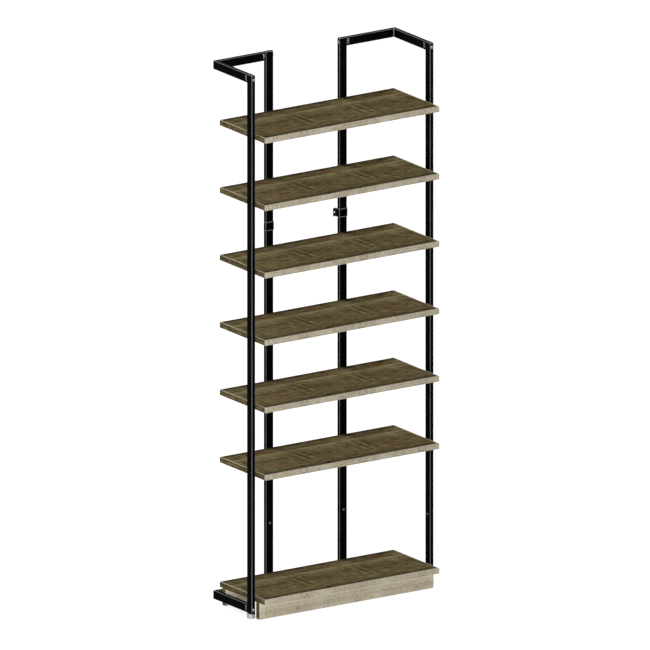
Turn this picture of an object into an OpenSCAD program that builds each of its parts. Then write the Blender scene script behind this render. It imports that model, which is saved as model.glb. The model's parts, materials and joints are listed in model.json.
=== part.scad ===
// Open shelving unit: boards held between two tube frames that wrap its rear corners.
// X runs along the shelves, Y from the front to the back, and Z up. The origin lies on the floor,
// in the middle of the unit's footprint. All sizes are in millimetres.

/* [Shelves] */
// Length of every shelf
shelf_w = 748; // [620:1:1000]
// Depth of every shelf, from the front edge to the back edge
shelf_d = 292; // [250:1:400]
// Thickness of every shelf
shelf_t = 20; // [18:0.5:28]
// Thickness of the edge bands, which count in the size of the shelf
band_t = 1; // [0.6:0.1:2]
// Height of the base shelf's underside above the floor
base_h = 63; // [55:0.5:100]
// Rise from the base shelf to the second shelf
base_bay_h = 462.5; // [300:0.5:540]
// Rise from the base shelf to the level that is kept for one more shelf
spare_rise = 193; // [120:0.5:260]
// Rise between the other shelves
bay_h = 250; // [200:0.5:280]

/* [Frame tubes] */
// Wide side of the tube
tube_w = 32; // [28:0.5:40]
// Narrow side of the tube
tube_t = 15; // [14:0.5:22]
// Wall of the tube
tube_wall = 1.5; // [1:0.1:2]
// Inside radius of the tube's corners
tube_bend = 0.5; // [0.3:0.1:1]
// Height of a post with its cap
post_l = 1997; // [1930:1:2400]
// Distance of the front posts behind the front edge of the shelves
front_post_y = 61.5; // [50:0.5:100]
// Distance of the rear posts from the ends of the shelves
rear_post_inset = 200; // [150:1:260]

/* [Frame joints] */
// Thread of the frame bolts
bolt_d = 6; // [5:0.5:6.5]
// Length of thread that stands out behind the cross nut
bolt_tip = 4; // [1:0.5:10]
// Radial room of the bolts in the posts
bolt_room = 0.3; // [0.2:0.05:0.5]
// Diameter of the bolt's domed head
head_d = 12; // [10:0.5:14]
// Height of the bolt's domed head
head_h = 3.3; // [2.5:0.1:4]
// Hexagon socket in the head, across its flats
socket_w = 4; // [3:0.5:5]
// Depth of the hexagon socket
socket_deep = 2; // [1:0.1:2.2]
// Width of the window for the cross nut, along the rail
window_w = 8; // [6:0.5:12]
// Height of the window for the cross nut
window_h = 18; // [12:0.5:20]
// Distance of the window from the end of the rail
window_edge = 3; // [2:0.5:8]
// Play between the cross nut and its window, on each side
nut_play = 0.1; // [0.05:0.05:0.3]

/* [Caps and feet] */
// Thickness of the caps on the posts
cap_t = 2; // [1.5:0.1:3]
// Wall of the cap's hollow plug
cap_wall = 1.2; // [1:0.1:2]
// Play between a plug and the tube, on each side
plug_play = 0.1; // [0.05:0.05:0.3]
// Distance between the end of a plug and the hole for the frame bolt
plug_gap = 1.7; // [0.5:0.1:2.5]
// Diameter of the feet
foot_d = 30; // [24:0.5:38]
// Height of the feet
foot_h = 17; // [10:0.5:24]
// Radius round the lower edge of the feet
foot_edge = 2; // [1:0.5:4]
// Thickness of the flange that closes the lower end of a post
flange_t = 1; // [0.8:0.1:3]
// Diameter of the foot's stud
stud_d = 8; // [6:0.5:9]
// Thickness of the foot below its stud
stud_floor = 4; // [2.5:0.5:7]
// Running play of the stud in its thread, on the radius
stud_play = 0.1; // [0.05:0.01:0.2]

/* [Shelf fixings] */
// Thickness of the rivet nut's flange, which is the gap between shelf and frame
rivet_flange_t = 1.5; // [0.8:0.1:3]
// Diameter of the rivet nut's flange
rivet_flange_d = 8; // [8:0.5:12]
// Diameter of the rivet nut's body
rivet_d = 7; // [6.5:0.1:7.8]
// Diameter of the collar that is pressed up behind the wall
collar_d = 9; // [8.5:0.1:11]
// Height of that collar
collar_h = 2; // [1:0.5:3]
// Room between the end of the rivet nut and the far wall of the tube
rivet_room = 2.5; // [1:0.5:4]
// Thread of the shelf fixings
screw_d = 5; // [4:0.5:5.5]
// Radial room of the connecting bolts in the shelf
bore_room = 0.25; // [0.1:0.05:0.4]
// Distance from the edge of the shelf to the centre of its cam
cam_inset = 34; // [24:1:44]
// Diameter of the cams
cam_d = 15; // [14:0.5:20]
// Wall of the cams
cam_wall = 2.5; // [2:0.1:3]
// Play round the cams in the shelf
cam_play = 0.1; // [0.05:0.05:0.3]
// Neck of the connecting bolt, behind its head
neck_d = 3.2; // [2.4:0.1:3.5]
// Length of the head of the connecting bolt
conn_head_l = 2.5; // [1.5:0.1:3]

/* [Plinth] */
// Thickness of the plinth boards
plinth_t = 20; // [14:0.5:25]
// Gap between the plinth boards and the floor
plinth_lift = 1; // [0.5:0.5:10]
// Gap between the front plinth board and the feet of the front posts
plinth_foot_gap = 3.5; // [1:0.5:20]
// Distance of the rear plinth board from the back edge of the shelves
plinth_back = 17; // [10:1:60]
// Diameter of the dowels
dowel_d = 8; // [6:0.5:8]
// Depth of a dowel in the base shelf
dowel_up = 12; // [8:0.5:14]
// Depth of a dowel in a plinth board
dowel_down = 16; // [10:0.5:30]
// Play at each end of a dowel
dowel_play = 0.5; // [0.2:0.1:1]
// Distance of the outer dowels from the ends of the shelf
dowel_inset = 60; // [40:1:90]
// Distance of the outer angle brackets from the ends of the shelf
angle_inset = 110; // [100:1:130]
// Length of each leaf of the angle brackets
leaf_l = 20; // [16:0.5:30]
// Width of the angle brackets
leaf_w = 16; // [12:0.5:24]
// Thickness of the angle brackets
leaf_t = 1.5; // [1:0.1:2.5]
// Diameter of the wood screws
wood_screw_d = 3.5; // [3:0.1:4.5]
// Depth of the wood screws in the wood
wood_screw_deep = 13; // [8:0.5:13.5]
// Diameter of the head of the wood screws
wood_head_d = 7; // [6:0.1:8]
// Height of the head of the wood screws
wood_head_h = 2.2; // [1.5:0.1:3]

/* [Wall brackets] */
// Height of the wall brackets above the underside of the fifth shelf
bracket_rise = 91.5; // [60:0.5:140]
// Height of a wall bracket
strap_h = 32; // [20:0.5:50]
// Thickness of its strap
strap_t = 1.5; // [1:0.1:3]
// Inside radius of the strap's bends
strap_bend = 1; // [0.5:0.1:1.5]
// Play between the strap and the sides of the post
strap_play = 0.5; // [0.1:0.1:1]
// Length of the leg on the outer side of the post
hook_l = 13; // [8:0.5:20]
// Width of the ear for the wall screw
ear_w = 11; // [10:0.5:30]
// Diameter of the hole for the wall screw
ear_hole = 5.5; // [4:0.5:6.5]

/* [Hidden] */
$fn = 48;

// Cuts run this far past the faces that they open
past = 1;
// Play of a screwed or pushed fit, on the radius
fit_play = 0.05;

// Shelves: levels of their undersides and of the fixings at half their thickness
shelf_count = 7;
half_w = shelf_w / 2;
function shelf_z(n) = n == 1 ? base_h : base_h + base_bay_h + (n - 2) * bay_h;
shelf_levels = [for (n = [1:shelf_count]) shelf_z(n) + shelf_t / 2];
rivet_levels = concat(shelf_levels, [base_h + spare_rise + shelf_t / 2]);

// Frames: the seats of the shelves are the flanges of the rivet nuts
tube_r = tube_bend + tube_wall;
side_x = half_w + rivet_flange_t;
side_mid = side_x + tube_t / 2;
side_out = side_x + tube_t;
back_in = shelf_d + rivet_flange_t;
back_mid = back_in + tube_t / 2;
back_out = back_in + tube_t;
front_mid = front_post_y + tube_w / 2;
side_rail_y = front_post_y + tube_w;
rear_mid = half_w - rear_post_inset - tube_w / 2;
back_rail_x = half_w - rear_post_inset;
post_z = foot_h + flange_t;
post_top = post_z + post_l;
rail_levels = [post_z, post_top - tube_w];
bolt_levels = [for (z = rail_levels) z + tube_w / 2];

// The wall touches the rear feet, and the wall brackets bridge the gap behind the posts
wall_y = back_mid + max(foot_d, tube_t) / 2;

// Frame joints
bolt_hole = bolt_d + 2 * bolt_room;
bolt_l = tube_w + window_edge + window_w + bolt_tip;
dome_r = (pow(head_d / 2, 2) + pow(head_h, 2)) / (2 * head_h);
nut_mid = window_edge + window_w / 2;

// Caps and inserts end short of the frame bolts
plug_end = tube_w / 2 - bolt_hole / 2 - plug_gap;
cap_plug_l = plug_end - cap_t;

// Shelf fixings
rivet_l = tube_t - tube_wall - rivet_room;
conn_thread_l = rivet_flange_t + rivet_l - 0.5;
bore_d = screw_d + 2 * bore_room;
cam_recess = 0.2;
cam_rim = 1.2;
head_room = 0.8;
cam_top = shelf_t / 2 + screw_d / 2 + cam_rim;
cavity_z = shelf_t / 2 - screw_d / 2 - head_room;
slot_w = neck_d + 0.6;
slot_z = shelf_t / 2 - slot_w / 2;
head_start = cam_inset - cam_d / 2 + cam_wall + 0.2;
neck_start = cam_inset - cam_d / 2 - 0.5;
cross_l = 7;
cross_w = 1.2;
cross_deep = 2;

// Plinth
plinth_h = base_h - plinth_lift;
plinth_front_y = front_mid - foot_d / 2 - plinth_foot_gap - plinth_t;
plinth_back_y = shelf_d - plinth_back - plinth_t;
dowel_span = shelf_w - 2 * dowel_inset;
dowel_places = [for (i = [0:3]) -dowel_span / 2 + i * dowel_span / 3];
angle_places = [-half_w + angle_inset, 0, half_w - angle_inset];
leaf_hole_d = wood_screw_d + 0.6;
leaf_hole = leaf_t + (leaf_l - leaf_t) / 2;

// Wall brackets
bracket_shelf = 5;
bracket_z = shelf_z(bracket_shelf) + bracket_rise - strap_h / 2;
strap_in = tube_w / 2 + strap_play;
strap_back = wall_y - back_in;
ear_end = strap_in + strap_t + ear_w;
ear_mid = strap_in + strap_t + ear_w / 2;

// Moves the model from the front edge of the shelves to the middle of the footprint
module place() {
    translate([0, -wall_y / 2, 0]) children();
}

// Draws a piece of the right side as it is (1), or its mirror image on the left (-1)
module sided(side) {
    if (side > 0) children();
    else mirror([1, 0, 0]) children();
}

module both_sides() {
    for (side = [-1, 1]) sided(side) children();
}

// Rectangle with round corners, about the origin
module rounded(w, t, r) {
    square([w - 2 * r, t], center = true);
    square([w, t - 2 * r], center = true);
    for (x = [-1, 1], y = [-1, 1])
        translate([x * (w / 2 - r), y * (t / 2 - r)]) circle(r);
}

module tube_bore(w, t, play) {
    inset = 2 * (tube_wall + play);
    rounded(w - inset, t - inset, tube_bend);
}

module tube(w, t, l) {
    linear_extrude(l) difference() {
        rounded(w, t, tube_r);
        tube_bore(w, t, 0);
    }
}

// Each fixing has its origin on the edge of the shelf, with +X pointing at the post
module at_front_fixings(levels) {
    for (z = levels) translate([half_w, front_mid, z]) children();
}

module at_rear_fixings(levels) {
    for (z = levels) translate([rear_mid, shelf_d, z]) rotate([0, 0, 90]) children();
}

module at_fixings(levels) {
    both_sides() {
        at_front_fixings(levels) children();
        at_rear_fixings(levels) children();
    }
}

module x_cylinder(d, from, to) {
    translate([from, 0, 0]) rotate([0, 90, 0]) cylinder(d = d, h = to - from);
}

// Each frame joint has its origin on the outer face of the post, with +X along the bolt
module at_front_joints() {
    for (z = bolt_levels) translate([side_mid, front_post_y, z]) rotate([0, 0, 90]) children();
}

module at_rear_joints() {
    for (z = bolt_levels) translate([rear_mid - tube_w / 2, back_mid, z]) children();
}

module at_joints() {
    both_sides() {
        at_front_joints() children();
        at_rear_joints() children();
    }
}

module rivet_hole() {
    x_cylinder(rivet_d + 2 * fit_play, rivet_flange_t - past, rivet_flange_t + tube_wall + past);
}

module post_front() {
    color([0.06, 0.06, 0.065]) difference() {
        translate([side_mid, front_mid, post_z]) tube(tube_t, tube_w, post_l - cap_t);
        at_front_fixings(rivet_levels) rivet_hole();
        at_front_joints() x_cylinder(bolt_hole, -past, tube_w + past);
    }
}

module post_rear() {
    color([0.06, 0.06, 0.065]) difference() {
        translate([rear_mid, back_mid, post_z]) tube(tube_w, tube_t, post_l - cap_t);
        at_rear_fixings(rivet_levels) rivet_hole();
        at_rear_joints() x_cylinder(bolt_hole, -past, tube_w + past);
    }
}

// Window for the cross nut: its origin is on the post's face and on the rail's axis
module window() {
    translate([nut_mid, 0, 0]) cube([window_w, tube_t + 2 * past, window_h], center = true);
}

// Rail beside the shelves, mitred at the rear corner, where it is welded to the rail behind
module rail_side(z) {
    l = back_out - side_rail_y;
    color([0.06, 0.06, 0.065]) difference() {
        intersection() {
            translate([side_mid, side_rail_y, z + tube_w / 2])
                rotate([-90, 0, 0]) tube(tube_t, tube_w, l);
            translate([0, 0, z]) linear_extrude(tube_w) polygon([
                [side_x, side_rail_y], [side_out, side_rail_y],
                [side_out, back_out], [side_x, back_in]
            ]);
        }
        translate([side_mid, side_rail_y, z + tube_w / 2]) rotate([0, 0, 90]) window();
    }
}

// Rail behind the shelves, from the rear corner to the rear post
module rail_back(z) {
    l = side_out - back_rail_x;
    color([0.06, 0.06, 0.065]) difference() {
        intersection() {
            translate([back_rail_x, back_mid, z + tube_w / 2])
                rotate([0, 90, 0]) tube(tube_w, tube_t, l);
            translate([0, 0, z]) linear_extrude(tube_w) polygon([
                [back_rail_x, back_in], [side_x, back_in],
                [side_out, back_out], [back_rail_x, back_out]
            ]);
        }
        translate([back_rail_x, back_mid, z + tube_w / 2]) window();
    }
}

// Steel block that lies across the end of a rail and takes the frame bolt
module cross_nut() {
    difference() {
        translate([tube_w + nut_mid, 0, 0])
            cube([window_w - 2 * nut_play, tube_t, window_h - 2 * nut_play], center = true);
        x_cylinder(bolt_d, tube_w, tube_w + 2 * nut_mid);
    }
}

module cross_nuts() {
    color([0.7, 0.71, 0.72]) at_joints() cross_nut();
}

// Bolt with a domed head and a hexagon socket
module frame_bolt() {
    x_cylinder(bolt_d - 2 * fit_play, 0, bolt_l);
    difference() {
        intersection() {
            x_cylinder(head_d, -head_h, 0);
            translate([dome_r - head_h, 0, 0]) sphere(dome_r);
        }
        translate([-head_h - past, 0, 0]) rotate([0, 90, 0])
            cylinder(d = socket_w / cos(30), h = socket_deep + past, $fn = 6);
    }
}

module frame_bolts() {
    color([0.75, 0.76, 0.77]) at_joints() frame_bolt();
}

// Draws its child, made for a w by t tube, on each of the four posts
module on_posts() {
    both_sides() {
        translate([side_mid, front_mid, 0]) rotate([0, 0, 90]) children();
        translate([rear_mid, back_mid, 0]) children();
    }
}

module post_caps() {
    color([0.05, 0.05, 0.05]) on_posts() {
        translate([0, 0, post_top - cap_t]) linear_extrude(cap_t) rounded(tube_w, tube_t, tube_r);
        translate([0, 0, post_top - cap_t - cap_plug_l]) linear_extrude(cap_plug_l) difference() {
            tube_bore(tube_w, tube_t, plug_play);
            tube_bore(tube_w, tube_t, plug_play + cap_wall);
        }
    }
}

module foot_inserts() {
    color([0.1, 0.1, 0.1]) on_posts() difference() {
        union() {
            translate([0, 0, foot_h]) linear_extrude(flange_t) rounded(tube_w, tube_t, tube_r);
            translate([0, 0, post_z]) linear_extrude(plug_end) tube_bore(tube_w, tube_t, plug_play);
        }
        translate([0, 0, foot_h - past]) cylinder(d = stud_d, h = plug_end + flange_t + 2 * past);
    }
}

module foot() {
    color([0.72, 0.72, 0.72]) difference() {
        rotate_extrude() {
            square([foot_d / 2 - foot_edge, foot_h]);
            translate([0, foot_edge]) square([foot_d / 2, foot_h - foot_edge]);
            translate([foot_d / 2 - foot_edge, foot_edge]) circle(foot_edge);
        }
        translate([0, 0, stud_floor]) cylinder(d = stud_d - 2 * stud_play + 2 * fit_play, h = foot_h);
    }
}

module stud() {
    color([0.7, 0.71, 0.72]) translate([0, 0, stud_floor])
        cylinder(d = stud_d - 2 * stud_play, h = post_z + plug_end - stud_floor);
}

module at_front_post(side) {
    sided(side) translate([side_mid, front_mid, 0]) children();
}

module at_rear_post(side) {
    sided(side) translate([rear_mid, back_mid, 0]) children();
}

// What every shelf leaves open for its fixings
module fixing_bores(n) {
    at_fixings([shelf_z(n) + shelf_t / 2]) {
        x_cylinder(bore_d, -cam_inset, past);
        translate([-cam_inset, 0, -shelf_t / 2 - past])
            cylinder(d = cam_d, h = cam_top + cam_recess + past);
    }
}

module dowel_bores() {
    for (y = [plinth_front_y, plinth_back_y], x = dowel_places)
        translate([x, y + plinth_t / 2, base_h - dowel_down - dowel_play])
            cylinder(d = dowel_d, h = dowel_down + dowel_up + 2 * dowel_play);
}

// Each angle bracket has its origin in the corner of board and shelf, with +Y off the board
module at_angles() {
    for (x = angle_places) {
        translate([x, plinth_front_y + plinth_t, base_h]) children();
        translate([x, plinth_back_y, base_h]) mirror([0, 1, 0]) children();
    }
}

module screw_pilots() {
    at_angles() {
        translate([0, leaf_hole, 0]) cylinder(d = wood_screw_d, h = wood_screw_deep + fit_play);
        translate([0, 0, -leaf_hole]) rotate([90, 0, 0])
            cylinder(d = wood_screw_d, h = wood_screw_deep + fit_play);
    }
}

module shelf(n) {
    color([0.32, 0.29, 0.22]) difference() {
        translate([-half_w + band_t, band_t, shelf_z(n)])
            cube([shelf_w - 2 * band_t, shelf_d - 2 * band_t, shelf_t]);
        fixing_bores(n);
        if (n == 1) {
            dowel_bores();
            screw_pilots();
        }
    }
}

module front_band(n) {
    color([0.66, 0.62, 0.54]) translate([-half_w, 0, shelf_z(n)]) cube([shelf_w, band_t, shelf_t]);
}

// Band on the back edge, over the full length, and one at each end between front and back
module edge_bands(n) {
    color([0.45, 0.41, 0.33]) difference() {
        translate([0, 0, shelf_z(n)]) {
            translate([-half_w, shelf_d - band_t, 0]) cube([shelf_w, band_t, shelf_t]);
            both_sides() translate([half_w - band_t, band_t, 0])
                cube([band_t, shelf_d - 2 * band_t, shelf_t]);
        }
        fixing_bores(n);
    }
}

// Flange on the post's face, body in its wall and the collar that is pressed up behind it
module rivet_nut() {
    difference() {
        union() {
            x_cylinder(rivet_flange_d, 0, rivet_flange_t);
            x_cylinder(rivet_d, 0, rivet_flange_t + rivet_l);
            x_cylinder(collar_d, rivet_flange_t + tube_wall, rivet_flange_t + tube_wall + collar_h);
        }
        x_cylinder(screw_d, -past, rivet_flange_t + rivet_l + past);
    }
}

module rivet_nuts() {
    color([0.72, 0.72, 0.7]) at_fixings(rivet_levels) rivet_nut();
}

// Threaded in the rivet nut, with a neck and a head that the cam grips
module connecting_bolt() {
    shank_d = screw_d - 2 * fit_play;
    x_cylinder(shank_d, -neck_start, conn_thread_l);
    x_cylinder(neck_d, -head_start - conn_head_l / 2, -neck_start + conn_head_l / 2);
    x_cylinder(shank_d, -head_start - conn_head_l, -head_start);
}

module connecting_bolts() {
    color([0.7, 0.71, 0.72]) at_fixings(shelf_levels) connecting_bolt();
}

// Round housing with a hollow for the bolt's head, a slot for its neck and a cross recess below
module cam() {
    difference() {
        translate([0, 0, cam_recess]) cylinder(d = cam_d - 2 * cam_play, h = cam_top - cam_recess);
        translate([0, 0, cavity_z]) cylinder(d = cam_d - 2 * cam_wall, h = cam_top);
        translate([0, -slot_w / 2, slot_z]) cube([cam_d, slot_w, cam_top]);
        for (turn = [0, 90]) rotate([0, 0, 45 + turn]) translate([0, 0, cam_recess])
            cube([cross_l, cross_w, 2 * cross_deep], center = true);
    }
}

module cams() {
    color([0.68, 0.68, 0.66]) at_fixings(shelf_levels)
        translate([-cam_inset, 0, -shelf_t / 2]) cam();
}

module plinth_board(y) {
    color([0.66, 0.62, 0.54]) difference() {
        translate([-half_w + band_t, y, plinth_lift])
            cube([shelf_w - 2 * band_t, plinth_t, plinth_h]);
        dowel_bores();
        screw_pilots();
    }
}

module plinth_end_bands() {
    color([0.45, 0.41, 0.33]) both_sides() for (y = [plinth_front_y, plinth_back_y])
        translate([half_w - band_t, y, plinth_lift]) cube([band_t, plinth_t, plinth_h]);
}

module plinth_dowels() {
    color([0.78, 0.64, 0.45]) for (y = [plinth_front_y, plinth_back_y], x = dowel_places)
        translate([x, y + plinth_t / 2, base_h - dowel_down])
            cylinder(d = dowel_d - 2 * fit_play, h = dowel_down + dowel_up);
}

module angle_bracket() {
    difference() {
        union() {
            translate([-leaf_w / 2, 0, -leaf_l]) cube([leaf_w, leaf_t, leaf_l]);
            translate([-leaf_w / 2, 0, -leaf_t]) cube([leaf_w, leaf_l, leaf_t]);
        }
        translate([0, leaf_hole, -leaf_t - past]) cylinder(d = leaf_hole_d, h = leaf_t + 2 * past);
        translate([0, leaf_t + past, -leaf_hole]) rotate([90, 0, 0])
            cylinder(d = leaf_hole_d, h = leaf_t + 2 * past);
    }
}

module plinth_angles() {
    color([0.72, 0.72, 0.7]) at_angles() angle_bracket();
}

// Wood screw with its tip at the origin and its head along +Z
module wood_screw() {
    shank_l = wood_screw_deep + leaf_t;
    cylinder(d = wood_screw_d - 2 * fit_play, h = shank_l);
    translate([0, 0, shank_l]) cylinder(d = wood_head_d, h = wood_head_h);
}

module plinth_screws() {
    color([0.75, 0.74, 0.66]) at_angles() {
        translate([0, leaf_hole, wood_screw_deep]) mirror([0, 0, 1]) wood_screw();
        translate([0, -wood_screw_deep, -leaf_hole]) rotate([-90, 0, 0]) wood_screw();
    }
}

// Quarter of a ring, the cross-section of a bend in the strap, towards the corner [x, y]
module strap_corner(x, y) {
    intersection() {
        difference() {
            circle(strap_bend + strap_t);
            circle(strap_bend);
        }
        scale_out = strap_bend + strap_t + past;
        translate([min(0, x * scale_out), min(0, y * scale_out)]) square(scale_out);
    }
}

// Strap seen from above, about the middle of the post's front face, with its ear towards -X
module strap_outline() {
    flat = strap_in - strap_bend;
    ear_bend = strap_in + strap_t + strap_bend;
    leg_end = strap_back - strap_t - strap_bend;
    translate([-flat, -strap_t]) square([2 * flat, strap_t]);
    translate([flat, strap_bend]) strap_corner(1, -1);
    translate([strap_in, strap_bend]) square([strap_t, hook_l - strap_t - strap_bend]);
    translate([-flat, strap_bend]) strap_corner(-1, -1);
    translate([-strap_in - strap_t, strap_bend]) square([strap_t, leg_end - strap_bend]);
    translate([-ear_bend, leg_end]) strap_corner(1, 1);
    translate([-ear_end, strap_back - strap_t]) square([ear_end - ear_bend, strap_t]);
}

// Strap that wraps a rear post and ends in an ear on the wall, on the inner side of the post
module wall_bracket() {
    color([0.06, 0.06, 0.065]) translate([rear_mid, back_in, bracket_z]) difference() {
        linear_extrude(strap_h) strap_outline();
        translate([-ear_mid, strap_back + past, strap_h / 2]) rotate([90, 0, 0])
            cylinder(d = ear_hole, h = strap_t + 2 * past);
    }
}

place() sided(-1) post_front();  // post_front_left
place() sided(1) post_front();  // post_front_right
place() sided(-1) post_rear();  // post_rear_left
place() sided(1) post_rear();  // post_rear_right
place() sided(-1) rail_side(rail_levels[1]);  // rail_side_top_left
place() sided(1) rail_side(rail_levels[1]);  // rail_side_top_right
place() sided(-1) rail_side(rail_levels[0]);  // rail_side_bottom_left
place() sided(1) rail_side(rail_levels[0]);  // rail_side_bottom_right
place() sided(-1) rail_back(rail_levels[1]);  // rail_back_top_left
place() sided(1) rail_back(rail_levels[1]);  // rail_back_top_right
place() sided(-1) rail_back(rail_levels[0]);  // rail_back_bottom_left
place() sided(1) rail_back(rail_levels[0]);  // rail_back_bottom_right
place() cross_nuts();
place() frame_bolts();
place() post_caps();
place() foot_inserts();
place() at_front_post(-1) foot();  // foot_front_left
place() at_front_post(1) foot();  // foot_front_right
place() at_rear_post(-1) foot();  // foot_rear_left
place() at_rear_post(1) foot();  // foot_rear_right
place() at_front_post(-1) stud();  // stud_front_left
place() at_front_post(1) stud();  // stud_front_right
place() at_rear_post(-1) stud();  // stud_rear_left
place() at_rear_post(1) stud();  // stud_rear_right
for (n = [1:shelf_count]) {
    place() shelf(n);
    place() front_band(n);
    place() edge_bands(n);
}
place() rivet_nuts();
place() connecting_bolts();
place() cams();
place() plinth_board(plinth_front_y);  // plinth_front
place() plinth_board(plinth_back_y);  // plinth_back
place() plinth_end_bands();
place() plinth_dowels();
place() plinth_angles();
place() plinth_screws();
place() sided(-1) wall_bracket();  // wall_bracket_left
place() sided(1) wall_bracket();  // wall_bracket_right
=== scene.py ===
"""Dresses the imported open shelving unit: its finishes, its turned fasteners, the studio and the camera."""

import json
import math

import bmesh
import bpy
from bpy.props import FloatProperty, FloatVectorProperty, IntProperty, PointerProperty
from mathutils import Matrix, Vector

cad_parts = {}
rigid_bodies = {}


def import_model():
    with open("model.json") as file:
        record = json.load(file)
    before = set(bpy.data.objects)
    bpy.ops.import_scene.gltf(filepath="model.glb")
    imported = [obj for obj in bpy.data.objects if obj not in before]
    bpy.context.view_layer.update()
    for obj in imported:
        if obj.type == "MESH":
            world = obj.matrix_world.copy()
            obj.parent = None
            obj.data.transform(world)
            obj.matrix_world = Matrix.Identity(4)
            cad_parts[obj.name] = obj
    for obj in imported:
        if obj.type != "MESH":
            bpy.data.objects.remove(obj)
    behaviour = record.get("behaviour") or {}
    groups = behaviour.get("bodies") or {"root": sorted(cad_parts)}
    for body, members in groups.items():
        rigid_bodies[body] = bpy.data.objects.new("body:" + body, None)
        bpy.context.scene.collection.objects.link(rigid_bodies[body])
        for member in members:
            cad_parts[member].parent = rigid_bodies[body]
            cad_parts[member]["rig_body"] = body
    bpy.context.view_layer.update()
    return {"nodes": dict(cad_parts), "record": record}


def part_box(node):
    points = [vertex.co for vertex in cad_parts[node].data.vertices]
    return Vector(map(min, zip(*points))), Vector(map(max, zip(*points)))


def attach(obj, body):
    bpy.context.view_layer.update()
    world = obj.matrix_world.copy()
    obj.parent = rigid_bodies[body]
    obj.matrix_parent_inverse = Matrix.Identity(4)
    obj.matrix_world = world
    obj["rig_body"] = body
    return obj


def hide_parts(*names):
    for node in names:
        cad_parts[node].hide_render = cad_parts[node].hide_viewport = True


bl_info = {
    "name": "Open Shelving Unit",
    "version": (1, 0, 0),
    "blender": (4, 5, 0),
    "location": "View3D > Sidebar > Shelving",
    "description": "Finishes, fasteners and studio of an open shelving unit with two tube frames",
    "category": "Object",
}

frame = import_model()
NODES = frame["nodes"]
RECORD = frame["record"]

MM = 0.001
# Points closer than this lie on one line or plane
NEAR = 0.01 * MM
SHELVES = range(1, 8)
# The base shelf and the top shelf, which have more room above them than the others
OPEN_SHELVES = (1, 7)
SIDES = ("left", "right")
PLACES = ("front_left", "front_right", "rear_left", "rear_right")
# The ways in which the faces of a right post look that have something fixed to them
INWARD = Vector((-1, 0, 0))
FORWARD = Vector((0, -1, 0))


# Settings


def tone(name, description, default):
    """A colour, written as it looks on the screen."""
    return FloatVectorProperty(
        name=name, description=description, default=default, subtype="COLOR_GAMMA", min=0.0, max=1.0
    )


def length(name, description, default):
    """A size, given in millimetres and kept in metres."""
    return FloatProperty(
        name=name, description=description, default=default * MM, unit="LENGTH", min=0.0, precision=5
    )


def share(name, description, default):
    """A plain number from nothing to one."""
    return FloatProperty(
        name=name, description=description, default=default, subtype="FACTOR", min=0.0, max=1.0
    )


def number(name, description, default):
    """A plain number of any size."""
    return FloatProperty(name=name, description=description, default=default)


def angle(name, description, default):
    """An angle, given in degrees."""
    return FloatProperty(
        name=name, description=description, default=math.radians(default), subtype="ANGLE"
    )


class OakSettings(bpy.types.PropertyGroup):
    """Colours and pattern of the oak decor on shelves, bands and plinth."""

    top: tone("Top", "Main colour of the shelves' large faces", (0.395, 0.357, 0.247))
    top_light: tone("Top light", "Light fibres and the seam between two planks", (0.530, 0.492, 0.358))
    top_dark: tone("Top dark", "Pores and the dark rims of the board", (0.200, 0.170, 0.105))
    top_brown: tone("Top brown", "Warm patches", (0.440, 0.315, 0.215))
    top_olive: tone("Top olive", "Greenish flecks", (0.372, 0.376, 0.232))
    # Painted shade: the base and top shelf, which get more light from above, take a darker copy of the decor
    open_lift: number("Open lift", "Brightness of the base and top shelf against the others", 0.85)
    front: tone("Front", "Main colour of the front bands and plinth boards", (0.612, 0.584, 0.512))
    front_light: tone("Front light", "Pale bands across the fronts", (0.680, 0.655, 0.590))
    front_dark: tone("Front dark", "Knots and pores in the fronts", (0.470, 0.432, 0.372))
    front_warm: tone("Front warm", "Warmer flecks in the fronts", (0.640, 0.548, 0.440))
    # Painted light: these lifts brighten copies of the decor for the boards that lie in more shade
    base_lift: number("Base lift", "Brightness of the base shelf's front band against the others", 1.10)
    plinth_lift: number("Plinth lift", "Brightness of the plinth's front against the bands", 1.38)
    rear_plinth_lift: number("Rear plinth lift", "Brightness of the plinth's rear board", 1.75)
    # Painted light and shade: the plinth is drawn lighter towards its top and darker towards its foot,
    # against the shade under the base shelf and the light off the floor
    plinth_wear: share("Plinth wear", "How far the plinth's tone changes with its height", 0.9)
    end: tone("End", "Main colour of the bands on ends and back", (0.332, 0.284, 0.188))
    # Painted highlight: the pale tone drawn on the boards' upper edges, and under the base shelf's band as
    # painted light
    rubbed: tone("Highlit", "The boards where their outer edges are rubbed pale", (0.720, 0.690, 0.620))
    beech: tone("Beech", "Main colour of the dowels", (0.66, 0.50, 0.33))
    beech_light: tone("Beech light", "Light fibres of the dowels", (0.80, 0.66, 0.47))
    sheen: share("Sheen", "Strength of the reflection on the matt surface", 0.0)
    repeat: length("Repeat", "Length after which the printed pattern starts again", 254)
    seam: length("Seam", "Distance of the plank seam from the back edge", 76)
    figure_pitch: length("Figure pitch", "Distance between two streaks of the figure", 33)
    fibre: length("Fibre", "Width of a single fibre", 1.5)
    pore_depth: length("Pore depth", "Depth of the embossed pores", 0.08)


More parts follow.
